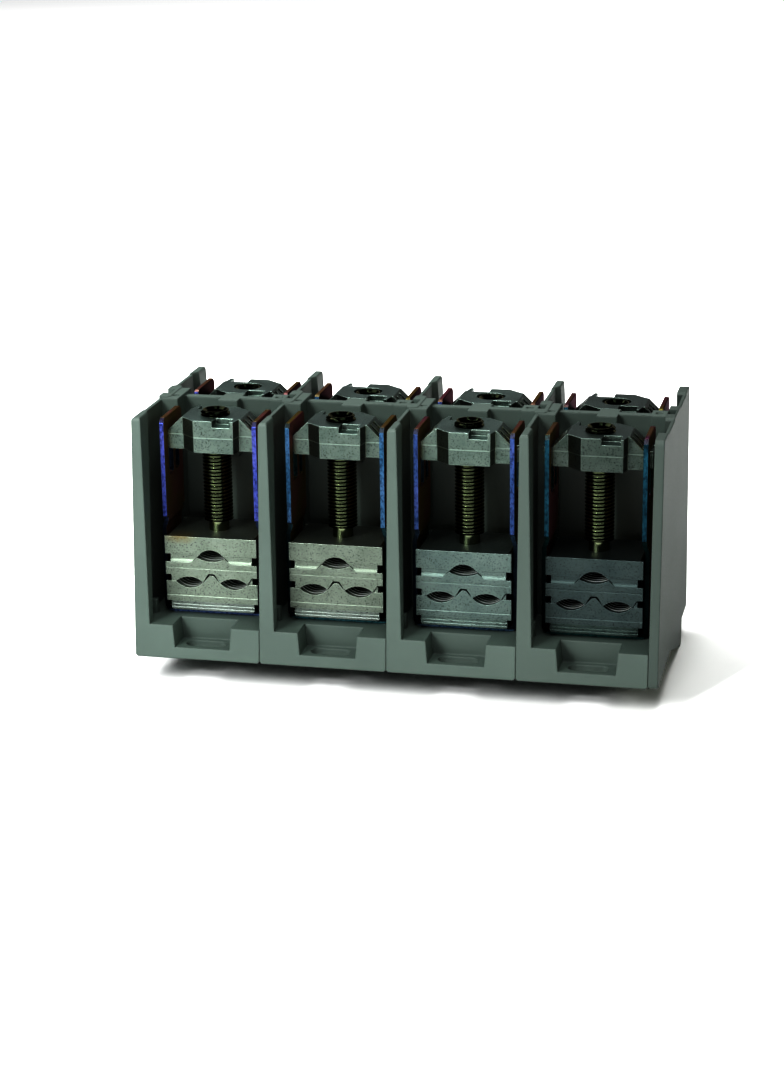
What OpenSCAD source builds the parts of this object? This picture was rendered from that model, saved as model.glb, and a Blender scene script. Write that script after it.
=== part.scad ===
// Four-pole terminal strip for heavy conductors. Four moulded housing modules stand side by
// side, closed by an end plate, and each module holds a front and a rear box clamp that share
// one conductor rail. Lengths are in millimetres, +X runs along the strip, +Y to the rear and
// +Z up. The origin is the centre of the outer fixing slots, on the base plane.

/* [Housing] */
// Room for the walls between the upper plates of neighbouring poles
wall_room = 15.8; // [15.6:0.1:22]
// Height of the thin side walls
wall_top = 98.8; // [94:0.2:112]
// Height of the sill and of the floor of the bays
sill_height = 14; // [12:0.5:18]
// Angle by which the front and rear faces lean inwards
face_lean = 4.25; // [2:0.25:5]
// Thickness of the thin side wall
wall_t = 1.5; // [1.2:0.1:2.4]
// Width of the thick front and rear rims at the top
rim_top_w = 3.8; // [3:0.1:4.4]
// Width of the rims where they meet the sill
rim_foot_w = 6.3; // [4.6:0.1:6.6]
// Depth of the rims at the top, and of the ears on them
rim_top_d = 10.2; // [8:0.2:12]
// Depth of the rims where they meet the sill
rim_foot_d = 4.4; // [3:0.2:6]
// Rise of the ears above the thin walls
ear_rise = 0.9; // [0.6:0.1:2]
// Thickness of the wall between the front and the rear bay
cross_wall_t = 4; // [3:0.2:5]
// Thickness of the end plate
end_plate_t = 3.9; // [3.6:0.1:5]
// Thickness of the end plate's thin fields
end_wall_t = 1.4; // [1.2:0.1:2]
// Gap at each seam between two modules
seam_gap = 0.15; // [0.1:0.05:0.3]

/* [Fixing] */
// Width of the fixing notches in the sills
notch_w = 24; // [20:0.5:28]
// Depth of the fixing notches from the front and rear faces
notch_d = 12.6; // [12:0.1:13.6]
// Thickness of the floor of the notches
notch_floor = 4.8; // [3:0.2:6]
// Length of the fixing slots, end to end
slot_len = 16.8; // [12:0.2:18]
// Width of the fixing slots
slot_w = 7; // [5:0.2:8]
// Distance of the slots' centre lines from the faces
slot_inset = 6.7; // [6:0.1:7.5]

/* [Feet] */
// Where the ramp of the wall feet starts, from the front
foot_front = 46; // [40:1:52]
// Where the feet end, from the front
foot_rear = 88; // [80:1:92]
// Drop of the feet below the base
foot_drop = 11; // [8:0.5:14]

/* [Clamp] */
// Room between the front face at the base and the front strap
front_room = 17; // [16.5:0.1:19]
// Room between a strap and the middle of the housing
back_room = 12.1; // [11.9:0.1:14]
// Thickness of the steel strap
strap_t = 1.9; // [1.5:0.1:2.2]
// Depth of the strap's upper plates
strap_d = 24.2; // [23:0.2:25]
// Depth of the strap's narrower legs
leg_d = 20.4; // [18:0.2:21]
// Height of the step between plates and legs above the floor
leg_h = 41.2; // [39:0.2:44]
// Outward jog of the legs
leg_jog = 1.1; // [0.8:0.1:1.4]
// Drop of the bridge's top below the thin walls
bridge_drop = 1.8; // [1.5:0.1:4]
// Height of the bridge
bridge_h = 13.5; // [12:0.5:15]
// Depth of the bridge's centre block
bridge_d = 25.2; // [23:0.2:26]
// Depth of the bridge's wings
wing_d = 14.8; // [14:0.2:16]
// Reach of the bridge's lugs beyond the strap
lug_reach = 1.5; // [0.8:0.1:1.6]

/* [Screw] */
// Outside diameter of the clamp screws' thread
screw_d = 12; // [10:0.5:14]
// Height of the front screws above the bridge at rest
screw_stand = 2.1; // [1.5:0.1:5]
// Drop of the rear screws' tops below the bridge at rest
rear_screw_sunk = 0.4; // [0.2:0.1:2]
// Diameter of the plain shank below the thread
shank_d = 8.4; // [7:0.2:9]
// Length of the shank between the thread and the pressure piece
shank_len = 4.5; // [3:0.5:8]
// Size across the flats of the hexagon socket
socket_af = 7; // [5:0.5:7.5]
// Depth of the hexagon socket
socket_depth = 7; // [4:0.5:10]

/* [Stack] */
// Thickness of the conductor rail
rail_t = 3.9; // [3:0.1:5]
// Height of the lower piece at its sides
lower_h = 8.5; // [7.5:0.1:11]
// Height of the middle piece's sides
middle_h = 5.5; // [5:0.1:8]
// Height of the side notches below the middle piece and below the pressure piece
notch_h = 2.9; // [2.5:0.1:3.5]
// Height of the pressure piece's body
pressure_h = 7.7; // [7.2:0.1:10]
// Overhang of the pieces' lips past the strap's plates
lip_reach = 1; // [0.6:0.1:1.3]
// Depth of the lips in front of and behind the strap
lip_d = 1.5; // [1:0.1:2]

/* [Channels] */
// Half width of the mouths of the clamping channels
mouth_half = 5.8; // [5.4:0.1:6.4]
// Half width of the land between the two lower channels
middle_land = 3.7; // [3.5:0.1:4.5]
// Width of the lands between the lower channels and the strap
edge_land = 3; // [2.8:0.1:4]
// Height of the single channel's upper arc
high_rise = 3.4; // [2.5:0.1:3.6]
// Depth of the single channel's lower arc
high_dip = 1.4; // [1:0.1:1.7]
// Height of the paired channels' upper arcs
low_rise = 2.1; // [1.5:0.1:2.4]
// Depth of the paired channels' lower arcs
low_dip = 2.6; // [2:0.1:3]
// Spacing of the serrations along the channels
tooth_pitch = 2.6; // [2.4:0.1:4]
// Depth of the serrations
tooth_depth = 0.5; // [0.3:0.1:0.6]

/* [Hidden] */

poles = 4;
cut = 1;
corner_steps = 4;

// Housing
lean = tan(face_lean);
side_gap = 0.3;
channel_x = middle_land + mouth_half;
strap_inner = 2 * (channel_x + mouth_half + edge_land + side_gap);
pole_pitch = strap_inner + wall_room;
base_depth = 2 * (front_room + strap_d + back_room);
clamp_inset = front_room + strap_d / 2;
ear_top = wall_top + ear_rise;
wall_inset = 0.35;
wall_inner = wall_inset + wall_t;
module_w = pole_pitch - seam_gap;
mid_y = base_depth / 2;
cross_top = wall_top - 0.5;
edge_chamfer = 0.8;
flank_d = 2.6;
ear_round = 1.2;
// The clamps stand midway between a rim, taken at half height, and the next module
clamp_x = (pole_pitch + (rim_top_w + rim_foot_w) / 2) / 2;
notch_x = clamp_x - 0.5;
notch_taper = 0.8;
origin_x = notch_x + (poles - 1) * pole_pitch / 2;
origin_y = base_depth / 2;
rib_w = 8.4;
rib_d = 4.4;
rib_h = 24;
boss_w = 6.4;
boss_d = 9.8;
knob_w = 4.8;
knob_d = 20.4;
knob_round = 1.6;
bar_rear = 7.2;
bar_drop = 0.2;
dimple_d = 3;
dimple_depth = 0.5;
key_w = 6.2;
key_head_w = 6.8;
key_reach = end_plate_t - 0.9;
key_gap = 0.2;
key_drop = 0.6;
core_wall = 3.4;
core_roof = 3.4;
guide_h = 6;
guide_w = 4;
guide_d = 3;

// Heights of the stack
floor_z = sill_height;
seat_gap = 0.05;
lift_gap = 0.1;
rail_z = floor_z + strap_t + seat_gap;
lower_z = rail_z + rail_t + seat_gap;
lower_top = lower_z + lower_h;
middle_z = lower_top + notch_h;
middle_top = middle_z + middle_h;
pressure_z = middle_top + lift_gap + notch_h + 0.4;
pressure_top = pressure_z + pressure_h;
tongue_z = middle_top + lift_gap;

// Strap
plate_top = wall_top - bridge_drop + 0.3;
plate_foot = floor_z + leg_h;
jog_h = 3;
jog_drop = 1.8;
bend_in = 1.5;
leg_in = strap_inner / 2 + leg_jog;

// Bridge
bridge_top = wall_top - bridge_drop;
bridge_z = bridge_top - bridge_h;
window_drop = 11.5;
window_z0 = bridge_z - window_drop;
wing_half = strap_inner / 2 - side_gap;
wing_slope = 5.6;
flat_half = wing_half - wing_slope - 0.2;
block_left = 6;
block_right = 10.9;
lug_h = 6.8;
lug_z = bridge_z + 1;
lug_gap = 0.2;
lug_a = [-wing_d / 2 + 0.5, -0.8];
lug_b = [2.6, wing_d / 2 - 0.5];
groove_depth = 1.4;
groove_y = [[-0.4, 2.2], [-5.4, -3.2]];
pocket_w = 7.6;
pocket_d = 5.8;
pocket_h = 2.5;
parting_z = bridge_z + bridge_h * 0.47;
parting_step = 0.15;

// Screw
fit_gap = 0.05;
thread_z = pressure_top + shank_len;
sink_h = 1.2;
sink_d = screw_d - 2.4;
foot_h = 1.9;
foot_d = shank_d + 2.2;
foot_z = pressure_top - 1.9 - foot_h - lift_gap;

// Stack pieces
web_half = wing_half;
lip_half = strap_inner / 2 + lip_reach;
lip_y = strap_d / 2 + side_gap;
piece_half_d = lip_y + lip_d;
tongue_half = web_half - 0.9;
rail_half = web_half - 0.4;
rail_front = front_room - 1.1;
tongue_back = 0.5;
bead_h = 1;
line_h = 0.3;
line_depth = 0.25;
line_drop = 2.6;
ledge_h = 2.4;
ledge_back = 0.3;
fill_back = 0.6;
fill_low = channel_x + mouth_half + 0.7;
outer_run = 2.1;
fill_high = web_half - 0.9;
mouth_high = tongue_z + 2.2;
slope_run = 2.3;
peak_half = 0.9;
peak_h = 3;
roof_half = 1.3;
roof_h = 3.8;
tooth_half = mouth_half + 0.15;
tooth_z = lower_top + seat_gap;
mouth_lip = 0.2;

function unit(v) = v / norm(v);

// Points of a rounded corner at b between the sides to a and to c
function corner(a, b, c, r) =
    r <= 0 ? [b] :
    let (
        u = unit(a - b),
        w = unit(c - b),
        half = acos(u * w) / 2,
        centre = b + unit(u + w) * r / sin(half),
        from = b + u * r / tan(half) - centre,
        to = b + w * r / tan(half) - centre,
        start = atan2(from[1], from[0]),
        turn = (atan2(to[1], to[0]) - start + 540) % 360 - 180
    )
    [for (i = [0:corner_steps])
        centre + r * [cos(start + turn * i / corner_steps), sin(start + turn * i / corner_steps)]];

// Outline through points given as [x, y, corner radius]
function outline(p) =
    let (n = len(p))
    [for (i = [0:n - 1])
        let (a = p[(i + n - 1) % n], b = p[i], c = p[(i + 1) % n])
        each corner([a[0], a[1]], [b[0], b[1]], [c[0], c[1]], b[2])];

// Radius of an arc from its half chord and its rise
function arc_radius(half, rise) = (half * half + rise * rise) / (2 * rise);

// Prism along Y from y0 to y1 over an outline in X and Z
module prism_y(y0, y1) {
    translate([0, y1, 0]) rotate([90, 0, 0]) linear_extrude(y1 - y0) children();
}

// Prism along X from x0 to x1 over an outline in Y and Z
module prism_x(x0, x1) {
    translate([x0, 0, 0]) rotate([90, 0, 90]) linear_extrude(x1 - x0) children();
}

// The child and its mirror image at the rear
module front_and_rear() {
    children();
    translate([0, base_depth, 0]) mirror([0, 1, 0]) children();
}

// The child and its copy turned half round the screw axis
module both_ends() {
    children();
    rotate([0, 0, 180]) children();
}

// Side view of the body between its leaning faces
module leaning_profile(z0, z1, inset) {
    polygon([
        [z0 * lean + inset, z0],
        [base_depth - z0 * lean - inset, z0],
        [base_depth - z1 * lean - inset, z1],
        [z1 * lean + inset, z1]
    ]);
}

// Horizontal section of a rim at height z, drawn in by e for the rounding of the ear
module rim_section(z, w, d, e) {
    y0 = z * lean;
    translate([0, 0, z])
        linear_extrude(0.01)
            polygon([
                [e, y0 + e * 0.7],
                [w - e * 0.5, y0 + e * 0.7],
                [w - e * 0.5, y0 + d],
                [min(wall_inner, w - e * 0.5), y0 + d + flank_d],
                [e, y0 + d + flank_d]
            ]);
}

// Thick front rim that carries an ear, drafted on its inner side
module rim() {
    hull() {
        rim_section(sill_height - cut, rim_foot_w, rim_foot_d, 0);
        rim_section(ear_top - ear_round, rim_top_w, rim_top_d, 0);
        rim_section(ear_top - ear_round * 0.35, rim_top_w, rim_top_d, ear_round * 0.3);
        rim_section(ear_top - 0.01, rim_top_w, rim_top_d, ear_round * 0.8);
    }
}

// Ramped foot below a wall
module wall_foot(x0, x1) {
    prism_x(x0, x1)
        polygon(outline([
            [foot_front, cut / 2, 0],
            [foot_front, 0, 0],
            [foot_rear - 5, -foot_drop, 3],
            [foot_rear, -foot_drop, 3],
            [foot_rear, cut / 2, 0]
        ]));
}

// Section of the vertical key that joins a cross wall to the next wall, widened towards its head
module key_section(grow) {
    polygon([
        [-cut - grow, -key_w / 2 - grow],
        [0, -key_w / 2 - grow],
        [key_reach + grow, -key_head_w / 2 - grow],
        [key_reach + grow, key_head_w / 2 + grow],
        [0, key_w / 2 + grow],
        [-cut - grow, key_w / 2 + grow]
    ]);
}

// Keyway in the outer face of a wall
module keyway(z1) {
    translate([0, mid_y, sill_height])
        linear_extrude(z1 - sill_height)
            key_section(key_gap);
}

// Sill block with its fixing notches and slots
module base_block() {
    difference() {
        intersection() {
            prism_y(-cut, base_depth + cut)
                polygon([
                    [edge_chamfer, 0], [module_w - edge_chamfer, 0],
                    [module_w, edge_chamfer], [module_w, sill_height],
                    [0, sill_height], [0, edge_chamfer]
                ]);
            prism_x(-cut, pole_pitch + cut) leaning_profile(0, sill_height, 0);
        }
        front_and_rear() fixing_notch();
        underside_cores();
    }
}

// Notch in the sill with a slot for a fixing screw
module fixing_notch() {
    prism_y(-cut, notch_d)
        polygon([
            [notch_x - notch_w / 2 - notch_taper / 2, sill_height + cut],
            [notch_x - notch_w / 2 - notch_taper / 2, sill_height],
            [notch_x - notch_w / 2 + notch_taper / 2, notch_floor],
            [notch_x + notch_w / 2 - notch_taper / 2, notch_floor],
            [notch_x + notch_w / 2 + notch_taper / 2, sill_height],
            [notch_x + notch_w / 2 + notch_taper / 2, sill_height + cut]
        ]);
    straight = slot_len - slot_w;
    translate([notch_x, slot_inset, -cut]) {
        translate([-straight / 2, 0, 0]) cylinder(h = notch_floor + 2 * cut, d = slot_w, $fn = 48);
        translate([straight / 2, 0, 0]) cylinder(h = notch_floor + 2 * cut, d = slot_w, $fn = 48);
        translate([-straight / 2, -slot_w / 2, 0]) cube([straight, slot_w, notch_floor + 2 * cut]);
    }
}

// Ribbed hollow of the base, open below
module underside_cores() {
    first = rim_top_w + core_wall;
    last = module_w - core_wall;
    width = (last - first - 2 * core_wall) / 3;
    front = notch_d + core_wall;
    depth = mid_y - cross_wall_t / 2 - front;
    for (side = [0, 1], i = [0:2])
        translate([first + i * (width + core_wall), side == 0 ? front : base_depth - front - depth, -cut])
            cube([width, depth, sill_height - core_roof + cut]);
}

// Wall between the bays, with a window for the rail and centre ribs
module cross_wall() {
    difference() {
        union() {
            translate([wall_inset, mid_y - cross_wall_t / 2, sill_height - cut])
                cube([module_w - wall_inset, cross_wall_t, cross_top - sill_height + cut]);
            translate([clamp_x - rib_w / 2, mid_y - cross_wall_t / 2 - rib_d, cross_top - rib_h])
                cube([rib_w, cross_wall_t + 2 * rib_d, rib_h]);
            translate([module_w - boss_w, mid_y - boss_d / 2, sill_height - cut])
                cube([boss_w, boss_d, cross_top + 0.6 - sill_height + cut]);
        }
        translate([clamp_x - rail_half - key_gap, mid_y - cross_wall_t, rail_z - key_gap])
            cube([2 * rail_half + 2 * key_gap, 2 * cross_wall_t, rail_t + 2 * key_gap]);
        translate([module_w - boss_w / 2, mid_y, cross_top + 0.6 - 0.5])
            cylinder(h = cut, d = boss_w * 0.5, $fn = 32);
    }
}

// Rounded knobs on the wall that hold the keyway, and the bar beside them
module pilaster() {
    bar_front = back_room - side_gap;
    bar_x = clamp_x - lip_half - 2 * key_gap;
    translate([0, mid_y, sill_height - cut]) {
        linear_extrude(ear_top - sill_height + cut)
            polygon(outline([
                [0, -knob_d / 2, knob_round],
                [knob_w, -knob_d / 2, knob_round],
                [knob_w, knob_d / 2, knob_round],
                [0, knob_d / 2, knob_round]
            ]));
        translate([wall_inner, -bar_front, 0])
            cube([bar_x - wall_inner, bar_front + bar_rear, ear_top - bar_drop - sill_height + cut]);
    }
}

// Moulded housing of one pole
module housing() {
    color([0.60, 0.64, 0.61])
        difference() {
            union() {
                base_block();
                prism_x(wall_inset, wall_inner) leaning_profile(sill_height - cut, wall_top, 1);
                front_and_rear() rim();
                wall_foot(0, rim_top_w);
                cross_wall();
                pilaster();
                translate([module_w - cut, mid_y, sill_height])
                    linear_extrude(cross_top - key_drop - sill_height)
                        translate([cut + seam_gap, 0]) key_section(0);
                front_and_rear() guide_rib();
            }
            keyway(ear_top + cut);
            translate([knob_w + 0.6 * dimple_d, mid_y - 2 * dimple_d, ear_top - bar_drop - dimple_depth])
                cylinder(h = cut, d = dimple_d, $fn = 32);
        }
}

// Small rib on the wall that guides the strap on to the floor
module guide_rib() {
    translate([wall_inner - cut / 2, clamp_inset - strap_d / 2 - guide_d, sill_height - cut])
        cube([guide_w, guide_d, guide_h + cut]);
}

// Plate that closes the last pole
module end_plate() {
    rear_top = base_depth - ear_top * lean;
    color([0.60, 0.64, 0.61])
        difference() {
            union() {
                prism_x(0, end_plate_t)
                    polygon(outline([
                        [0, 0, 1.5],
                        [base_depth, 0, 1.5],
                        [rear_top, ear_top, 2.4],
                        [rear_top - rim_top_d - flank_d, ear_top, 0.6],
                        [rear_top - rim_top_d - flank_d - 0.4, wall_top, 0.4],
                        [mid_y + knob_d / 2 + 0.4, wall_top, 0.4],
                        [mid_y + knob_d / 2, ear_top, 0.6],
                        [mid_y - knob_d / 2, ear_top, 0.6],
                        [mid_y - knob_d / 2 - 0.4, wall_top, 0.4],
                        [ear_top * lean + rim_top_d + flank_d + 0.4, wall_top, 0.4],
                        [ear_top * lean + rim_top_d + flank_d, ear_top, 0.6],
                        [ear_top * lean, ear_top, 2.4]
                    ]));
                wall_foot(0, end_plate_t);
            }
            keyway(ear_top + cut);
            front_and_rear() end_field();
        }
}

// Field between a rim and the middle boss where the end plate is thin
module end_field() {
    z0 = sill_height;
    z1 = wall_top + cut;
    prism_x(-cut, end_plate_t - end_wall_t)
        polygon([
            [z0 * lean + rim_foot_d + flank_d, z0],
            [mid_y - knob_d / 2 - 0.8, z0],
            [mid_y - knob_d / 2 - 0.8, z1],
            [z1 * lean + rim_top_d + flank_d + 0.8, z1]
        ]);
}

// Rail that joins the front and the rear clamp of a pole
module rail() {
    groove = 0.4;
    color([0.72, 0.73, 0.72])
        translate([clamp_x, 0, 0])
            difference() {
                prism_y(rail_front, base_depth - rail_front)
                    polygon(outline([
                        [-rail_half, rail_z, 1],
                        [rail_half, rail_z, 1],
                        [rail_half, rail_z + rail_t, 1],
                        [-rail_half, rail_z + rail_t, 1]
                    ]));
                for (y = [rail_front, base_depth - rail_front], part = [0.25, 0.6])
                    translate([-rail_half - cut, y - groove, rail_z + rail_t * part])
                        cube([2 * rail_half + 2 * cut, 2 * groove, groove]);
            }
}

// Outline of the strap seen from the front: a U with jogged legs
module strap_outline() {
    top_in = strap_inner / 2;
    top_out = top_in + strap_t;
    leg_out = leg_in + strap_t;
    jog_top = plate_foot - jog_drop;
    jog_foot = jog_top - jog_h;
    polygon(outline([
        [-top_out, plate_top, 0.4],
        [-top_out, jog_top, 1],
        [-leg_out, jog_foot, 1],
        [-leg_out, floor_z, bend_in + strap_t],
        [leg_out, floor_z, bend_in + strap_t],
        [leg_out, jog_foot, 1],
        [top_out, jog_top, 1],
        [top_out, plate_top, 0.4],
        [top_in, plate_top, 0.4],
        [top_in, jog_top, 1],
        [leg_in, jog_foot, 1],
        [leg_in, floor_z + strap_t, bend_in],
        [-leg_in, floor_z + strap_t, bend_in],
        [-leg_in, jog_foot, 1],
        [-top_in, jog_top, 1],
        [-top_in, plate_top, 0.4]
    ]));
}

// Side view of the strap: wide plates above, narrow legs below
module strap_side() {
    wide = strap_d / 2;
    narrow = leg_d / 2;
    polygon(outline([
        [-narrow, floor_z - cut, 0],
        [narrow, floor_z - cut, 0],
        [narrow, plate_foot, 0.6],
        [wide, plate_foot, 0.6],
        [wide, plate_top, 3],
        [-wide + 1.8, plate_top, 0.3],
        [-wide, plate_top - 2, 0.3],
        [-wide, plate_foot, 0.6],
        [-narrow, plate_foot, 0.6]
    ]));
}

// Windows of the strap's plates, one for each lug of the bridge
module strap_windows() {
    reach = strap_inner / 2 + strap_t + cut;
    for (lug = [lug_a, lug_b])
        prism_x(-reach, reach)
            polygon(outline([
                [lug[0] - lug_gap, window_z0, 1.6],
                [lug[1] + lug_gap, window_z0, 1.6],
                [lug[1] + lug_gap, lug_z + lug_h + lug_gap, 0.4],
                [lug[0] - lug_gap, lug_z + lug_h + lug_gap, 0.4]
            ]));
}

// Steel strap of one clamp
module strap() {
    color([0.52, 0.47, 0.55])
        difference() {
            intersection() {
                prism_y(-strap_d, strap_d) strap_outline();
                prism_x(-strap_inner, strap_inner) strap_side();
            }
            strap_windows();
        }
}

// Plan of the bridge with its faces drawn in by e, the same when turned half round
module bridge_plan(e) {
    tip = wing_half - e;
    wing = wing_d / 2 - e;
    front = bridge_d / 2 - e;
    root = block_right + 1 - e;
    polygon([
        [tip, -wing],
        [tip, wing],
        [root, wing],
        [block_left, front],
        [e - block_right, front],
        [-root, wing],
        [-tip, wing],
        [-tip, -wing],
        [-root, -wing],
        [-block_left, -front],
        [block_right - e, -front],
        [root, -wing]
    ]);
}

// Front view of the bridge with its slanted shoulders
module bridge_front_view() {
    polygon(outline([
        [-wing_half, bridge_z, 0.8],
        [wing_half, bridge_z, 0.8],
        [wing_half, bridge_top - wing_slope, 0.4],
        [flat_half, bridge_top, 0.6],
        [-flat_half, bridge_top, 0.6],
        [-wing_half, bridge_top - wing_slope, 0.4]
    ]));
}

// Cast bridge nut that the screw turns in
module bridge() {
    color([0.70, 0.72, 0.71])
        difference() {
            union() {
                intersection() {
                    union() {
                        translate([0, 0, bridge_z])
                            linear_extrude(parting_z - bridge_z + seat_gap)
                                bridge_plan(parting_step);
                        translate([0, 0, parting_z])
                            linear_extrude(bridge_top - parting_z)
                                bridge_plan(0);
                    }
                    prism_y(-bridge_d, bridge_d) bridge_front_view();
                }
                for (lug = [lug_a, lug_b])
                    translate([-wing_half - side_gap - strap_t - lug_reach, lug[0], lug_z])
                        cube([2 * (wing_half + side_gap + strap_t + lug_reach), lug[1] - lug[0], lug_h]);
            }
            translate([0, 0, bridge_z - cut])
                cylinder(h = bridge_h + 2 * cut, d = screw_d + 2 * fit_gap, $fn = 64);
            both_ends() shoulder_groove();
            both_ends()
                translate([block_right - 1.2 - pocket_w, -bridge_d / 2 - cut, bridge_top - pocket_h])
                    cube([pocket_w, pocket_d + cut, pocket_h + cut]);
        }
}

// Grooves between the ridges of a slanted shoulder, ending above the lugs
module shoulder_groove() {
    start = flat_half + 0.7;
    low = lug_z + lug_h + 0.3;
    slope = wing_slope / (wing_half - flat_half);
    for (y = groove_y)
        prism_y(y[0], y[1])
            polygon([
                [start, bridge_top + cut],
                [start, bridge_top - groove_depth - 0.7 * slope],
                [flat_half + (bridge_top - groove_depth - low) / slope, low],
                [wing_half + cut, low],
                [wing_half + cut, bridge_top + cut]
            ]);
}

// Clamp screw with its socket, plain shank and captive foot
module screw(top_z) {
    color([0.62, 0.58, 0.42])
        difference() {
            union() {
                translate([0, 0, thread_z])
                    cylinder(h = top_z - thread_z - 0.8, d = screw_d, $fn = 64);
                translate([0, 0, top_z - 0.8])
                    cylinder(h = 0.8, d1 = screw_d, d2 = screw_d - 1.6, $fn = 64);
                translate([0, 0, foot_z + foot_h / 2])
                    cylinder(h = thread_z - foot_z, d = shank_d, $fn = 64);
                translate([0, 0, foot_z]) cylinder(h = foot_h, d = foot_d, $fn = 64);
            }
            translate([0, 0, top_z - socket_depth])
                cylinder(h = socket_depth + cut, d = socket_af / cos(30), $fn = 6);
            translate([0, 0, top_z - sink_h])
                cylinder(h = 2 * sink_h, d1 = socket_af, d2 = 2 * sink_d - socket_af, $fn = 64);
        }
}

// Serrated cutter for a clamping channel along Y, with its axis at height z
module channel(x, z, r) {
    teeth = floor(2 * piece_half_d / tooth_pitch);
    margin = (2 * piece_half_d - teeth * tooth_pitch) / 2;
    profile = [
        [0, -piece_half_d - cut],
        [r, -piece_half_d - cut],
        [r, -piece_half_d + margin],
        for (i = [0:teeth - 1])
            each [
                [r + tooth_depth, -piece_half_d + margin + (i + 0.5) * tooth_pitch],
                [r, -piece_half_d + margin + (i + 1) * tooth_pitch]
            ],
        [r, piece_half_d + cut],
        [0, piece_half_d + cut]
    ];
    translate([x, 0, z]) rotate([-90, 0, 0]) rotate_extrude($fn = 96) polygon(profile);
}

// A stack piece: its web runs inside the strap, and its lips pass in front and behind
module piece_body(z0, z1) {
    translate([-web_half, -piece_half_d, z0]) cube([2 * web_half, 2 * piece_half_d, z1 - z0]);
    for (y = [-piece_half_d, lip_y])
        translate([-lip_half, y, z0]) cube([2 * lip_half, lip_d, z1 - z0]);
}

// Pressure piece that the screw carries
module pressure_piece() {
    r = arc_radius(mouth_half, high_rise);
    lip_x = mouth_half + mouth_lip + lift_gap;
    color([0.74, 0.75, 0.73])
        difference() {
            union() {
                piece_body(pressure_z, pressure_top);
                translate([-tongue_half, tongue_back - piece_half_d, tongue_z])
                    cube([2 * tongue_half, 2 * (piece_half_d - tongue_back), pressure_z - tongue_z + cut]);
                translate([-tongue_half, -piece_half_d, tongue_z])
                    cube([2 * tongue_half, 2 * piece_half_d, bead_h]);
            }
            prism_y(-piece_half_d - cut, piece_half_d + cut)
                polygon([
                    [-lip_x - slope_run, tongue_z - cut],
                    [-lip_x - slope_run, tongue_z],
                    [-lip_x, mouth_high],
                    [lip_x, mouth_high],
                    [lip_x + slope_run, tongue_z],
                    [lip_x + slope_run, tongue_z - cut]
                ]);
            channel(0, mouth_high + high_rise - r, r);
            translate([0, 0, foot_z - lift_gap])
                cylinder(h = foot_h + 2 * lift_gap, d = foot_d + 2 * fit_gap, $fn = 64);
            translate([0, 0, foot_z])
                cylinder(h = pressure_top - foot_z + cut, d = shank_d + 2 * fit_gap, $fn = 64);
        }
}

// Middle piece with one channel above and two below
module middle_piece() {
    hill_z = mouth_high - lift_gap;
    lip_x = mouth_half + mouth_lip;
    r_top = arc_radius(mouth_half, high_dip);
    r_low = arc_radius(mouth_half, low_rise);
    color([0.73, 0.74, 0.72])
        difference() {
            union() {
                piece_body(middle_z, middle_top);
                prism_y(-piece_half_d, piece_half_d)
                    polygon([
                        [-lip_x - slope_run, middle_top - cut],
                        [lip_x + slope_run, middle_top - cut],
                        [lip_x + slope_run, middle_top],
                        [lip_x, hill_z],
                        [-lip_x, hill_z],
                        [-lip_x - slope_run, middle_top]
                    ]);
                for (side = [-1, 1])
                    prism_y(-piece_half_d, piece_half_d)
                        polygon([
                            [side * (channel_x - tooth_half), tooth_z],
                            [side * (channel_x + tooth_half), tooth_z],
                            [side * (channel_x + tooth_half + outer_run), middle_z + cut / 2],
                            [side * (channel_x - tooth_half - 1.9), middle_z + cut / 2]
                        ]);
            }
            channel(0, hill_z - high_dip + r_top, r_top);
            for (side = [-1, 1])
                channel(side * channel_x, tooth_z + low_rise - r_low, r_low);
            prism_y(-piece_half_d - cut, piece_half_d + cut)
                polygon([
                    [-channel_x + tooth_half + seat_gap, tooth_z - cut],
                    [channel_x - tooth_half - seat_gap, tooth_z - cut],
                    [channel_x - tooth_half, tooth_z],
                    [roof_half, lower_top + roof_h],
                    [-roof_half, lower_top + roof_h],
                    [-channel_x + tooth_half, tooth_z]
                ]);
            face_cut(middle_top - line_drop, line_h, line_depth);
        }
}

// Cuts the front and the rear face of a stack piece back between two heights
module face_cut(z, h, depth) {
    for (y = [-piece_half_d - cut, piece_half_d - depth])
        translate([-lip_half - cut, y, z]) cube([2 * (lip_half + cut), depth + cut, h]);
}

// Lower piece with two channels and a centre peak
module lower_piece() {
    r = arc_radius(mouth_half, low_dip);
    foot = channel_x - tooth_half - seat_gap;
    color([0.73, 0.74, 0.72])
        union() {
            difference() {
                union() {
                    piece_body(lower_z, lower_top);
                    prism_y(-piece_half_d, piece_half_d)
                        polygon([
                            [-foot, lower_top - cut],
                            [foot, lower_top - cut],
                            [foot, lower_top],
                            [peak_half, lower_top + peak_h],
                            [-peak_half, lower_top + peak_h],
                            [-foot, lower_top]
                        ]);
                }
                for (side = [-1, 1]) channel(side * channel_x, lower_top - low_dip + r, r);
                face_cut(lower_z + ledge_h, lower_h + peak_h, ledge_back);
            }
            for (side = [-1, 1]) side_fill(side);
        }
}

// Height of the middle piece's outer slope at x, less a clearance
function slope_z(x) =
    tooth_z + (x - channel_x - tooth_half - key_gap) * (middle_z + cut / 2 - tooth_z) / outer_run;

// Wedge of the lower piece under the middle piece's outer slope
module side_fill(side) {
    foot = lower_top - line_h;
    prism_y(fill_back - piece_half_d, piece_half_d - fill_back)
        polygon([
            [side * fill_low, foot],
            [side * fill_high, foot],
            [side * fill_high, min(slope_z(fill_high), middle_z - line_h)],
            [side * fill_low, slope_z(fill_low)]
        ]);
}

// Places pole i, given from the front left corner of its base
module at_pole(i) {
    translate([i * pole_pitch - origin_x, -origin_y, 0]) children();
}

// Places a front clamp's part in pole i
module at_front(i) {
    at_pole(i) translate([clamp_x, clamp_inset, 0]) children();
}

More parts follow.
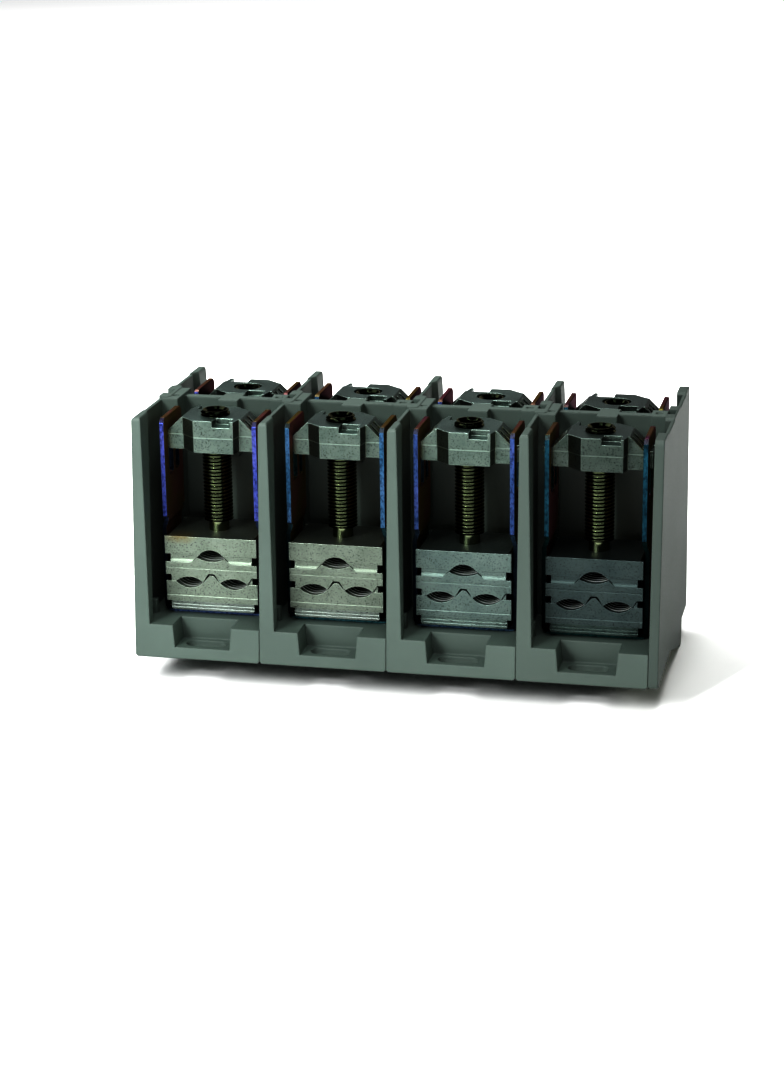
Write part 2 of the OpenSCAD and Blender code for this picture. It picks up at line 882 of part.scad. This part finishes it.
// Places a rear clamp's part in pole i, turned half round
module at_rear(i) {
    at_pole(i) translate([clamp_x, base_depth - clamp_inset, 0]) rotate([0, 0, 180]) children();
}

at_pole(poles) end_plate();
for (i = [0:poles - 1]) {
    n = str(i + 1);
    at_pole(i) housing();
    at_pole(i) rail();
    at_front(i) strap();
    at_rear(i) strap();
    at_front(i) bridge();
    at_rear(i) bridge();
    at_front(i) screw(bridge_top + screw_stand);
    at_rear(i) screw(bridge_top - rear_screw_sunk);
    at_front(i) pressure_piece();
    at_rear(i) pressure_piece();
    at_front(i) middle_piece();
    at_rear(i) middle_piece();
    at_front(i) lower_piece();
    at_rear(i) lower_piece();
}
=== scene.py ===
"""Looks for the four-pole terminal strip: camera, studio light, materials and threaded screws."""
import math

import bmesh
import bpy
from mathutils import Matrix, Vector


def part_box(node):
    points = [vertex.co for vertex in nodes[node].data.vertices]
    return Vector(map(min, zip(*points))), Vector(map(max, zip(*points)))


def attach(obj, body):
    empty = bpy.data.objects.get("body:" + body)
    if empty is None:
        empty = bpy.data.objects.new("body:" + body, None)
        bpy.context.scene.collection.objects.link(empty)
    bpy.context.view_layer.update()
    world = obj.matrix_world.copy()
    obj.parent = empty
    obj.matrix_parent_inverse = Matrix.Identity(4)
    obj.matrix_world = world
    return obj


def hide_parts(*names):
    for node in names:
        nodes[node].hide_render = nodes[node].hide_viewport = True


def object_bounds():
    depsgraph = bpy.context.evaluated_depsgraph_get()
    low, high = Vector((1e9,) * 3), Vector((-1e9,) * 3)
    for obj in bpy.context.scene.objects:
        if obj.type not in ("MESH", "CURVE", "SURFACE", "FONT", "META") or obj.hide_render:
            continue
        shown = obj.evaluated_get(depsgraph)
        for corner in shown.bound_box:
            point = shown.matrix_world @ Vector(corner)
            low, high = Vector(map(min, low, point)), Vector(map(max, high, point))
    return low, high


MM = 0.001
POLES = 4
SIDES = ("front", "rear")

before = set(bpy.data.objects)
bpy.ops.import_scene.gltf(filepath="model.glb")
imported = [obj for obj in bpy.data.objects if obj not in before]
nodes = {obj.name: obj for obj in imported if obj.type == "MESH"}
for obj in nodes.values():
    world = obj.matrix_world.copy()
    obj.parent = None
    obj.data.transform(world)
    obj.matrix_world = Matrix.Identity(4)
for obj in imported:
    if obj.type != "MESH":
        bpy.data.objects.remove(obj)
cad_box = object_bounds()
scene = bpy.context.scene

# Camera: where the photograph was taken from, in the part's frame
CAMERA_PLACE = Vector((206.3, -954.4, 344.8)) * MM
CAMERA_AZIMUTH = math.radians(12.822)
CAMERA_ELEVATION = math.radians(17.179)
CAMERA_ROLL = math.radians(-0.769)
FOCAL_PIXELS = 2437.6
IMAGE_HEIGHT = 1066
SENSOR = 36.0


def add_camera():
    data = bpy.data.cameras.new("camera")
    data.sensor_fit = "VERTICAL"
    data.sensor_height = SENSOR
    data.lens = FOCAL_PIXELS / IMAGE_HEIGHT * SENSOR
    data.clip_start = 0.05
    data.clip_end = 20
    camera = bpy.data.objects.new("camera", data)
    scene.collection.objects.link(camera)
    az, el = CAMERA_AZIMUTH, CAMERA_ELEVATION
    back = Vector((math.sin(az) * math.cos(el), -math.cos(az) * math.cos(el), math.sin(el)))
    right = Vector((0, 0, 1)).cross(back).normalized()
    up = back.cross(right)
    turned_right = right * math.cos(CAMERA_ROLL) + up * math.sin(CAMERA_ROLL)
    turned_up = up * math.cos(CAMERA_ROLL) - right * math.sin(CAMERA_ROLL)
    axes = Matrix((turned_right, turned_up, back)).transposed()
    camera.matrix_world = Matrix.Translation(CAMERA_PLACE) @ axes.to_4x4()
    scene.camera = camera


# Studio: the lamps' names, places, targets, sizes, powers and colours, in metres and watts
WHITE = (1, 1, 1)
LAMPS = (
    ("key", (-0.5, -0.74, 0.58), (0, -0.04, 0.05), (0.45, 0.4), 10.5, WHITE),
    ("high", (0.15, -0.85, 1.2), (0, 0, 0.08), (0.4, 0.3), 7, WHITE),
    ("bounce", (-0.12, -0.62, 0.05), (-0.05, -0.05, 0.03), (0.5, 0.08), 0.8, WHITE),
    ("left", (-0.55, 0.25, 0.85), (0, 0, 0.1), (0.4, 0.4), 5, WHITE),
    ("strip", (-0.5, -1.25, 0.78), (0, 0, 0.08), (0.05, 0.5), 9, WHITE),
    ("side", (1.3, -0.35, 0.7), (0.1, 0, 0.05), (0.4, 0.5), 5, (0.96, 1, 0.86)),
    ("over", (0.2, -0.2, 1.4), (0, 0, 0.1), (0.6, 0.5), 8, WHITE),
    ("over_rear", (-0.1, 0.5, 1.1), (0, 0, 0.1), (0.6, 0.4), 5, WHITE),
    ("rear_card", (0.1, 2.2, 0.95), (0, 0, 0.1), (2.2, 0.9), 5, WHITE),
    ("backdrop", (0, 0.85, 1.8), (0, 4.2, 0.25), (3.0, 1.2), 190, WHITE),
)
SKY_STRENGTH = 0.06
FLOOR_HALF = 8.0
FLOOR_DROP = 0.2 * MM
FLOOR_PAINT = (0.92, 0.92, 0.92, 1)
FLOOR_ROUGHNESS = 0.9
VIEW_GAMMA = 0.55


def area_light(name, place, target, size, power, colour):
    data = bpy.data.lights.new(name, "AREA")
    data.shape = "RECTANGLE"
    data.size, data.size_y = size
    data.energy = power
    data.color = colour
    lamp = bpy.data.objects.new(name, data)
    scene.collection.objects.link(lamp)
    aim = Vector(target) - Vector(place)
    facing = aim.to_track_quat("-Z", "Y").to_matrix().to_4x4()
    lamp.matrix_world = Matrix.Translation(Vector(place)) @ facing


def add_floor():
    level = cad_box[0][2] - FLOOR_DROP
    corners = [(x * FLOOR_HALF, y * FLOOR_HALF, level) for x, y in ((-1, -1), (1, -1), (1, 1), (-1, 1))]
    mesh = bpy.data.meshes.new("floor")
    mesh.from_pydata(corners, [], [(0, 1, 2, 3)])
    floor = bpy.data.objects.new("floor", mesh)
    scene.collection.objects.link(floor)
    paint, _, shader = new_material("floor_paint")
    shader.inputs["Base Color"].default_value = FLOOR_PAINT
    shader.inputs["Roughness"].default_value = FLOOR_ROUGHNESS
    mesh.materials.append(paint)


def add_studio():
    world = bpy.data.worlds.new("world")
    scene.world = world
    world.use_nodes = True
    sky = world.node_tree.nodes["Background"]
    sky.inputs["Color"].default_value = (1, 1, 1, 1)
    sky.inputs["Strength"].default_value = SKY_STRENGTH
    add_floor()
    for lamp in LAMPS:
        area_light(*lamp)
    scene.view_settings.view_transform = "Standard"
    scene.view_settings.gamma = VIEW_GAMMA


# Node helpers
def new_material(name):
    material = bpy.data.materials.new(name)
    material.use_nodes = True
    tree = material.node_tree
    return material, tree, tree.nodes["Principled BSDF"]


def add(tree, kind, **settings):
    node = tree.nodes.new("ShaderNode" + kind)
    for key, value in settings.items():
        setattr(node, key, value)
    return node


def put(node, **values):
    for key, value in values.items():
        node.inputs[key.replace("_", " ")].default_value = value
    return node


def noise(tree, scale, detail, rough=0.5):
    place = add(tree, "TexCoord")
    node = put(add(tree, "TexNoise"), Scale=scale, Detail=detail, Roughness=rough)
    tree.links.new(place.outputs["Object"], node.inputs["Vector"])
    return node.outputs["Fac"]


def ramp(tree, source, stops):
    node = add(tree, "ValToRGB")
    points = node.color_ramp.elements
    while len(points) < len(stops):
        points.new(0.5)
    for point, (place, colour) in zip(points, stops):
        point.position = place
        point.color = (*colour, 1)
    tree.links.new(source, node.inputs["Fac"])
    return node.outputs["Color"]


def mix(tree, factor, a, b, blend="MIX"):
    node = add(tree, "Mix", data_type="RGBA", blend_type=blend)
    for socket, value in ((node.inputs["Factor"], factor), (node.inputs[6], a), (node.inputs[7], b)):
        if hasattr(value, "is_output"):
            tree.links.new(value, socket)
        elif isinstance(value, (int, float)):
            socket.default_value = value
        else:
            socket.default_value = (*value, 1)
    return node.outputs[2]


def math_node(tree, operation, a, b=None, c=None):
    node = add(tree, "Math", operation=operation)
    for socket, value in zip(node.inputs, (a, b, c)):
        if value is None:
            continue
        if hasattr(value, "is_output"):
            tree.links.new(value, socket)
        else:
            socket.default_value = value
    return node.outputs[0]


def span(tree, source, low, high):
    """0 at low and 1 at high, and straight between them."""
    node = add(tree, "MapRange")
    put(node, From_Min=low, From_Max=high)
    tree.links.new(source, node.inputs["Value"])
    return node.outputs["Result"]


def rounded_normal(tree, radius):
    return put(add(tree, "Bevel", samples=4), Radius=radius).outputs[0]


def bumped(tree, shader, height, strength, depth, edge):
    """Give the shader a normal with rounded edges and a relief."""
    bump = put(add(tree, "Bump"), Strength=strength, Distance=depth)
    tree.links.new(height, bump.inputs["Height"])
    tree.links.new(rounded_normal(tree, edge), bump.inputs["Normal"])
    tree.links.new(bump.outputs[0], shader.inputs["Normal"])


def object_axes(tree):
    """X, Y and Z of the object's own coordinates."""
    place = add(tree, "TexCoord")
    split = add(tree, "SeparateXYZ")
    tree.links.new(place.outputs["Object"], split.inputs[0])
    return split.outputs


def normal_axes(tree):
    """X, Y and Z of the face's direction."""
    geometry = add(tree, "NewGeometry")
    split = add(tree, "SeparateXYZ")
    tree.links.new(geometry.outputs["True Normal"], split.inputs[0])
    return split.outputs


def inverse(tree, source):
    return math_node(tree, "SUBTRACT", 1.0, source)


def distance(tree, source, place):
    return math_node(tree, "ABSOLUTE", math_node(tree, "SUBTRACT", source, place))


def multiply(tree, a, b):
    return mix(tree, 1.0, a, b, "MULTIPLY")


def scaled(colour, level):
    return [level * v for v in colour]


def grey(level):
    return (level, level, level)


# Moulded plastic
PLASTIC_DARK, PLASTIC_LIGHT = (0.098, 0.130, 0.115), (0.114, 0.149, 0.132)
PLASTIC_ROUGHNESS = (0.42, 0.6)
PLASTIC_EDGE = 0.9 * MM


def moulded_plastic(name, level):
    """Matt plastic with a fine grain and faint clouds."""
    material, tree, shader = new_material(name)
    grain = noise(tree, 2600, 2)
    clouds = noise(tree, 22, 4)
    colour = ramp(tree, clouds, [(0.3, scaled(PLASTIC_DARK, level)), (0.7, scaled(PLASTIC_LIGHT, level))])
    tree.links.new(colour, shader.inputs["Base Color"])
    low, high = PLASTIC_ROUGHNESS
    rough = put(add(tree, "MapRange"), To_Min=low, To_Max=high)
    tree.links.new(grain, rough.inputs["Value"])
    tree.links.new(rough.outputs["Result"], shader.inputs["Roughness"])
    bumped(tree, shader, grain, 0.25, 0.08 * MM, PLASTIC_EDGE)
    return material


# Die-cast metal
TOOTH_PITCH = 2.6 * MM
CAST_EDGE = 0.3 * MM
CAST_ROUGHNESS = (0.26, 0.44)
SPECKS = ((0.33, grey(0.42)), (0.43, grey(1)), (0.72, grey(1.12)))
# Brightness of the painted highlights on the metal's edges and lines
HIGHLIGHT_BRIGHTNESS = 3
# Colour of the painted highlights on the serrations' crests
CREST_HIGHLIGHT_COLOUR = (0.95, 1.0, 0.97)
STAIN_COLOUR = (0.17, 0.12, 0.03)


def painted_edge_highlights(tree, colour, bright, edge):
    """Painted highlights: brighten the colour where the face bends away within the edge's radius."""
    geometry = add(tree, "NewGeometry")
    bend = add(tree, "VectorMath", operation="DOT_PRODUCT")
    tree.links.new(rounded_normal(tree, edge), bend.inputs[0])
    tree.links.new(geometry.outputs["True Normal"], bend.inputs[1])
    highlight_mask = inverse(tree, span(tree, bend.outputs["Value"], 0.86, 0.985))
    return mix(tree, math_node(tree, "MULTIPLY", highlight_mask, 0.8), colour, bright)


def painted_highlight_line(tree, colour, bright, height, half):
    """A painted highlight line along the piece at a height, such as along a mould's parting line."""
    away = distance(tree, object_axes(tree)["Z"], height)
    line = inverse(tree, span(tree, away, 0.6 * half, 1.5 * half))
    return mix(tree, math_node(tree, "MULTIPLY", line, 0.4), colour, bright)


def painted_crest_highlights(tree, colour, first):
    """Painted highlights on the crests of the serrations' flanks, from the first tooth on."""
    steps = math_node(tree, "SUBTRACT", math_node(tree, "ABSOLUTE", object_axes(tree)["Y"]), first)
    part = math_node(tree, "FRACT", math_node(tree, "DIVIDE", steps, TOOTH_PITCH))
    near = span(tree, distance(tree, part, 0.5), 0.24, 0.4)
    lean = math_node(tree, "ABSOLUTE", normal_axes(tree)["Y"])
    flank = math_node(tree, "SUBTRACT", span(tree, lean, 0.2, 0.3), span(tree, lean, 0.45, 0.6))
    return mix(tree, math_node(tree, "MULTIPLY", near, flank), colour, CREST_HIGHLIGHT_COLOUR)


def stained(tree, colour, place):
    """A brown stain with a ragged outline round a place."""
    coordinates = add(tree, "TexCoord")
    offset = add(tree, "VectorMath", operation="SUBTRACT")
    offset.inputs[1].default_value = place
    stretch = add(tree, "VectorMath", operation="MULTIPLY")
    stretch.inputs[1].default_value = (1, 1, 2.6)
    length = add(tree, "VectorMath", operation="LENGTH")
    tree.links.new(coordinates.outputs["Object"], offset.inputs[0])
    tree.links.new(offset.outputs[0], stretch.inputs[0])
    tree.links.new(stretch.outputs[0], length.inputs[0])
    ragged = math_node(tree, "MULTIPLY_ADD", noise(tree, 260, 4), 9 * MM, length.outputs["Value"])
    amount = inverse(tree, span(tree, ragged, 4 * MM, 14 * MM))
    return mix(tree, math_node(tree, "MULTIPLY", amount, 0.75), colour, STAIN_COLOUR)


def cast_metal(name, dark, light, level, metallic=0.97, edge=CAST_EDGE, top=None, line=None, crest=None,
               stain=None):
    """Die-cast metal with fine pits, specks and painted highlights on its edges.

    top multiplies the colour of the faces that look up, as painted light above one and painted shade below
    one, line is the height and half width of a painted highlight line, crest is where the serrations'
    crests start and their painted highlights begin, and stain is the middle of a stain.
    """
    material, tree, shader = new_material(name)
    pits = noise(tree, 1500, 6, 0.7)
    clouds = noise(tree, 90, 5, 0.6)
    colour = ramp(tree, clouds, [(0.32, scaled(dark, level)), (0.68, scaled(light, level))])
    colour = multiply(tree, colour, ramp(tree, noise(tree, 1700, 3), SPECKS))
    # Colour of the painted highlights
    bright = [min(1.0, v) for v in scaled(light, HIGHLIGHT_BRIGHTNESS * level)]
    colour = painted_edge_highlights(tree, colour, bright, edge)
    if line:
        colour = painted_highlight_line(tree, colour, bright, *line)
    if crest:
        colour = painted_crest_highlights(tree, colour, crest)
    # Faces that look up take the factor top: painted light above one, painted shade below one
    if top:
        upwards = span(tree, normal_axes(tree)["Z"], 0.93, 0.99)
        colour = mix(tree, upwards, colour, multiply(tree, colour, top))
    if stain:
        colour = stained(tree, colour, stain)
    tree.links.new(colour, shader.inputs["Base Color"])
    shader.inputs["Metallic"].default_value = metallic
    low, high = CAST_ROUGHNESS
    rough = put(add(tree, "MapRange"), To_Min=low, To_Max=high)
    tree.links.new(clouds, rough.inputs["Value"])
    tree.links.new(rough.outputs["Result"], shader.inputs["Roughness"])
    bumped(tree, shader, pits, 0.7, 0.22 * MM, edge)
    return material


# Strap steel: rolled faces, then the tops of the plates and the cut edges of each pole
OLIVE, PINK = (0.24, 0.22, 0.08), (0.36, 0.17, 0.17)
TABS = ((0.34, 0.20, 0.18), (0.30, 0.22, 0.14), (0.30, 0.15, 0.17), (0.20, 0.11, 0.17))
TINTS = (((0.09, 0.12, 0.35), (0.15, 0.17, 0.42)), ((0.05, 0.14, 0.22), (0.09, 0.17, 0.27)),
         ((0.05, 0.09, 0.19), (0.09, 0.12, 0.26)), ((0.01, 0.04, 0.055), (0.025, 0.09, 0.12)))
EDGE_LEVELS = (0.64, 0.72, 0.88, 0.9)
# Painted light and shade on the cut edges from the strap's floor up to its plates: light at the floor,
# shade in the legs
FLOOR_Z, PLATES_Z = 14 * MM, 64 * MM
EDGE_LIGHT_AND_SHADE = ((0.012, grey(3.6)), (0.02, grey(0.2)), (0.72, grey(0.3)), (0.84, grey(1)))
# Painted shade on the cut edges round the windows
WINDOW_EDGE_SHADE = (0.3, 0.4, 0.25)
# Painted light on the rolled faces in front of the cross wall and painted shade on those behind it
FRONT_FACES_LIGHT, REAR_FACES_SHADE = (1.5, 1.4, 1.4), (0.17, 0.13, 0.15)


def strap_steel(name, level, edge_a, edge_b, tab):
    """Heat-tinted steel: cut edges blue, rolled faces olive to pink, tops tinted like the rolled faces,
    with painted light and shade on the cut edges and the rolled faces.
    """
    material, tree, shader = new_material(name)
    normal, place = normal_axes(tree), object_axes(tree)
    sideways = span(tree, math_node(tree, "ABSOLUTE", normal["X"]), 0.5, 0.8)
    upwards = span(tree, math_node(tree, "ABSOLUTE", normal["Z"]), 0.6, 0.9)

    # Cut edges, scratched, with painted light at the strap's floor and painted shade in the legs and in the
    # windows
    edges = ramp(tree, noise(tree, 60, 2), [(0.35, scaled(edge_a, level)), (0.65, scaled(edge_b, level))])
    scratches = ramp(tree, noise(tree, 900, 3, 0.7), [(0.36, (0.4, 0.4, 0.45)), (0.56, grey(1.15))])
    edges = multiply(tree, edges, scratches)
    edges = multiply(tree, edges, ramp(tree, span(tree, place["Z"], FLOOR_Z, PLATES_Z), EDGE_LIGHT_AND_SHADE))
    low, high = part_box("strap_front_1")
    middle, half = -(low.y + high.y) / 2, (high.y - low.y) / 2
    away = distance(tree, math_node(tree, "ABSOLUTE", place["Y"]), middle)
    outer = span(tree, away, half - 2 * MM, half - 1 * MM)
    edges = mix(tree, outer, multiply(tree, edges, WINDOW_EDGE_SHADE), edges)

    tops = ramp(tree, noise(tree, 50, 2), [(0.35, OLIVE), (0.65, tab)])
    broad = ramp(tree, noise(tree, 28, 2), [(0.36, OLIVE), (0.64, PINK)])
    # Painted light in front of the cross wall, painted shade behind it
    front_light_rear_shade = ramp(tree, span(tree, place["Y"], -20 * MM, 20 * MM), [(0.4, FRONT_FACES_LIGHT), (0.6, REAR_FACES_SHADE)])
    broad = multiply(tree, broad, front_light_rear_shade)
    tree.links.new(mix(tree, sideways, mix(tree, upwards, edges, tops), broad), shader.inputs["Base Color"])
    shader.inputs["Metallic"].default_value = 0.9
    shader.inputs["Specular Tint"].default_value = (0.34, 0.2, 0.26, 1)
    shader.inputs["Roughness"].default_value = 0.34
    bumped(tree, shader, noise(tree, 1400, 3), 0.3, 0.08 * MM, 0.2 * MM)
    return material


# Screw steel
SCREW_DARK, SCREW_LIGHT = (0.17, 0.20, 0.13), (0.25, 0.285, 0.18)
# Painted shade on the faces that look up and on the head
UPWARD_SHADE = (0.12, 0.14, 0.13)
HEAD_SHADE = (0.2, 0.22, 0.2)


def screw_steel(head_z):
    """Oiled steel, with painted shade above head_z and on the faces that look up."""
    material, tree, shader = new_material("screw_steel")
    colour = ramp(tree, noise(tree, 160, 4), [(0.3, SCREW_DARK), (0.7, SCREW_LIGHT)])
    head = span(tree, object_axes(tree)["Z"], head_z, head_z + 1 * MM)
    colour = multiply(tree, colour, ramp(tree, head, [(0, WHITE), (1, HEAD_SHADE)]))
    upwards = ramp(tree, normal_axes(tree)["Z"], [(0.3, WHITE), (0.7, UPWARD_SHADE)])
    tree.links.new(multiply(tree, colour, upwards), shader.inputs["Base Color"])
    shader.inputs["Metallic"].default_value = 1.0
    shader.inputs["Roughness"].default_value = 0.11
    shader.inputs["Specular Tint"].default_value = (1, 0.98, 0.8, 1)
    bumped(tree, shader, noise(tree, 1500, 3), 0.08, 0.04 * MM, 0.12 * MM)
    return material


def dress(prefix, material):
    """Give the material to every node whose name starts with the prefix."""
    for name, node in nodes.items():
        if name.startswith(prefix):
            for slot in node.material_slots:
                slot.material = material
            if not node.material_slots:
                node.data.materials.append(material)


# Threaded screws
THREAD_PITCH = 1.5 * MM
ROOT_DROP = 0.92 * MM
# Points of one turn of the thread: place within the turn and share of the root's drop
THREAD_FORM = ((0.0, 0.0), (0.12, 0.0), (0.5, 1.0), (0.62, 1.0))
AROUND = 48
SHANK = 4.2 * MM
SHANK_LENGTH = 4.5 * MM
FOOT = 5.3 * MM
FOOT_HEIGHT = 1.9 * MM
CHAMFER = 0.8 * MM
SINK = 4.8 * MM
SINK_HEIGHT = 0.9 * MM
SOCKET_FLATS = 7.0 * MM
SOCKET_DEPTH = 7.0 * MM
DRILL = 0.6 * MM
DRILL_DEPTH = 1.0 * MM
MERGE = 1e-7
SHARP_ANGLE = 35
# Turn of each pole's screw from the one before, and of the rear screws, in degrees
SCREW_TURN, QUARTER = 37, 90


def screw_mesh(name, low, top, pressure_top, outer):
    bm = bmesh.new()
    thread_low = pressure_top + SHANK_LENGTH
    rows = len(THREAD_FORM)

    def vertex(k, radius, z):
        angle = 2 * math.pi * k / AROUND
        return bm.verts.new((radius * math.cos(angle), radius * math.sin(angle), z))

    def ring(radius_at, z):
        return [vertex(k, radius_at(k), z) for k in range(AROUND)]

    def join(lower, upper, last):
        for k in range(last):
            m = (k + 1) % AROUND
            bm.faces.new((lower[k], lower[m], upper[m], upper[k]))

    # The thread winds up one turn per pass round, and its ends are cut flat
    turns = math.ceil((top - thread_low) / THREAD_PITCH) + 3
    grid = []
    for i in range(turns * rows + 1):
        place, drop = THREAD_FORM[i % rows]
        line = []
        for k in range(AROUND):
            z = thread_low + THREAD_PITCH * (i // rows + place + k / AROUND - 1)
            z = min(max(z, thread_low), top)
            line.append(vertex(k, min(outer - ROOT_DROP * drop, outer - CHAMFER + top - z), z))
        grid.append(line)
    for i in range(len(grid) - 1):
        join(grid[i], grid[i + 1], AROUND - 1)
    end = AROUND - 1
    for i in range(len(grid) - 1 - rows):
        bm.faces.new((grid[i][end], grid[i + rows][0], grid[i + rows + 1][0], grid[i + 1][end]))

    # Foot and shank
    below = [ring(lambda k: FOOT, low), ring(lambda k: FOOT, low + FOOT_HEIGHT),
             ring(lambda k: SHANK, low + FOOT_HEIGHT), ring(lambda k: SHANK, thread_low)]
    for a, b in zip(below, below[1:]):
        join(a, b, AROUND)
    join(below[-1], grid[0], end)
    bm.faces.new([below[-1][end], below[-1][0]] + [grid[i][0] for i in range(rows + 1)] + [grid[0][end]])
    bm.faces.new(list(reversed(below[0])))

    # Countersunk hexagon socket with a drilled bottom
    def hexagon(k):
        return SOCKET_FLATS / 2 / math.cos((2 * math.pi * k / AROUND) % (math.pi / 3) - math.pi / 6)

    above = [ring(lambda k: SINK, top), ring(hexagon, top - SINK_HEIGHT),
             ring(hexagon, top - SOCKET_DEPTH), ring(lambda k: DRILL, top - SOCKET_DEPTH - DRILL_DEPTH)]
    for a, b in zip(above, above[1:]):
        join(a, b, AROUND)
    join(grid[-1], above[0], end)
    side = [grid[i][end] for i in range(len(grid) - 1, len(grid) - 2 - rows, -1)]
    bm.faces.new([above[0][0], above[0][end]] + side + [grid[-1][0]])
    bm.faces.new(above[-1])

    bmesh.ops.remove_doubles(bm, verts=bm.verts, dist=MERGE)
    bmesh.ops.dissolve_degenerate(bm, edges=bm.edges, dist=MERGE)
    bmesh.ops.recalc_face_normals(bm, faces=bm.faces)
    mesh = bpy.data.meshes.new(name)
    bm.to_mesh(mesh)
    bm.free()
    mesh.shade_smooth()
    mesh.set_sharp_from_angle(angle=math.radians(SHARP_ANGLE))
    return mesh


def add_screws(material):
    for side in SIDES:
        low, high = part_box(f"screw_{side}_1")
        pressure_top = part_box(f"pressure_{side}_1")[1].z
        outer = (high.x - low.x) / 2
        mesh = screw_mesh(f"screw_{side}", low.z, high.z, pressure_top, outer)
        mesh.materials.append(material)
        for pole in range(1, POLES + 1):
            node = f"screw_{side}_{pole}"
            low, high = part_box(node)
            piece = bpy.data.objects.new(f"threaded_{node}", mesh)
            scene.collection.objects.link(piece)
            angle = SCREW_TURN * pole + (QUARTER if side == "rear" else 0)
            axis = Matrix.Translation(((low.x + high.x) / 2, (low.y + high.y) / 2, 0))
            piece.matrix_world = axis @ Matrix.Rotation(math.radians(angle), 4, "Z")
            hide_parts(node)
            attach(piece, node)


# Levels of the parts' brightness from the first to the last pole: their own brightness with a painted shade
# that deepens towards the last pole
PLASTIC_LEVELS = (0.98, 0.92, 0.9, 0.8)
# The end plate's plastic is darker than the housings' by a painted shade on its outer face
END_PLATE_LEVEL = 0.62
BRIDGE_LEVELS = (0.38, 0.34, 0.37, 0.22)
PIECE_LEVELS = (0.62, 0.52, 0.44, 0.2)
RAIL_LEVELS = (0.66, 0.62, 0.53, 0.24)
# How far the metal's colour goes from red towards blue, from the first to the last pole
COOL = (0, 0, 0.03, 0.05)
BRIDGE_DARK, BRIDGE_LIGHT = (0.25, 0.33, 0.29), (0.39, 0.48, 0.43)
# Painted light on the bridges' upward faces and painted shade on the pieces' upward faces
BRIDGE_TOP_LIGHT, PIECE_TOP_SHADE = (1.2, 1.32, 1.36), grey(0.55)
BRIDGE_EDGE = 0.6 * MM
PIECE_METALLIC = 0.6
# The parting line's share of the bridge's height, and the half width of the painted highlight along it
PARTING_SHARE, PARTING_HIGHLIGHT_HALF = 0.47, 0.23 * MM
# Half height of the painted highlight on the bead along the pressure piece's lower edge
BEAD_HIGHLIGHT_HALF = 0.6 * MM
# Distance of the stain's middle from the pressure piece's left end
STAIN_INSET = 6 * MM
# Height above the bridges' underside where the painted shade on the screws begins
HEAD_ABOVE = 4 * MM


def pole_bridge(pole):
    low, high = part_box(f"bridge_front_{pole}")
    parting = low.z + PARTING_SHARE * (high.z - low.z)
    return cast_metal(f"bridge_casting_{pole}", BRIDGE_DARK, BRIDGE_LIGHT, BRIDGE_LEVELS[pole - 1],
                      edge=BRIDGE_EDGE, top=BRIDGE_TOP_LIGHT, line=(parting, PARTING_HIGHLIGHT_HALF))


def dress_pole(pole):
    index = pole - 1
    cool = COOL[index]
    rail = cast_metal(f"rail_metal_{pole}", (0.23 - cool, 0.27, 0.25), (0.34 - cool, 0.39, 0.36),
                      RAIL_LEVELS[index])
    dress(f"rail_{pole}", rail)
    dress(f"housing_{pole}", moulded_plastic(f"moulded_plastic_{pole}", PLASTIC_LEVELS[index]))

    # The teeth are centred in the piece's depth, so half of what is left over lies before the first
    low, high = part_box(f"lower_front_{pole}")
    crest = -low.y - (high.y - low.y) % TOOTH_PITCH / 2
    piece = {"dark": (0.25 - cool, 0.30, 0.25 + cool), "light": (0.34 - cool, 0.40, 0.34 + cool),
             "level": PIECE_LEVELS[index], "metallic": PIECE_METALLIC, "top": PIECE_TOP_SHADE, "crest": crest}
    low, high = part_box(f"pressure_front_{pole}")
    bead_highlight = (low.z + BEAD_HIGHLIGHT_HALF, BEAD_HIGHLIGHT_HALF)
    looks = {
        "strap": strap_steel(f"strap_steel_{pole}", EDGE_LEVELS[index], *TINTS[index], TABS[index]),
        "bridge": pole_bridge(pole),
        "pressure": cast_metal(f"clamp_metal_top_{pole}", line=bead_highlight, **piece),
        "middle": cast_metal(f"clamp_metal_{pole}", **piece),
    }
    looks["lower"] = looks["middle"]
    for side in SIDES:
        for kind, material in looks.items():
            dress(f"{kind}_{side}_{pole}", material)
    if pole == 1:
        place = (low.x + STAIN_INSET, low.y, high.z)
        dress("pressure_front_1", cast_metal("clamp_metal_stained", line=bead_highlight, stain=place, **piece))


add_camera()
add_studio()
dress("end_plate", moulded_plastic("plate_plastic", END_PLATE_LEVEL))
for pole in range(1, POLES + 1):
    dress_pole(pole)
add_screws(screw_steel(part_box("bridge_front_1")[0].z + HEAD_ABOVE))
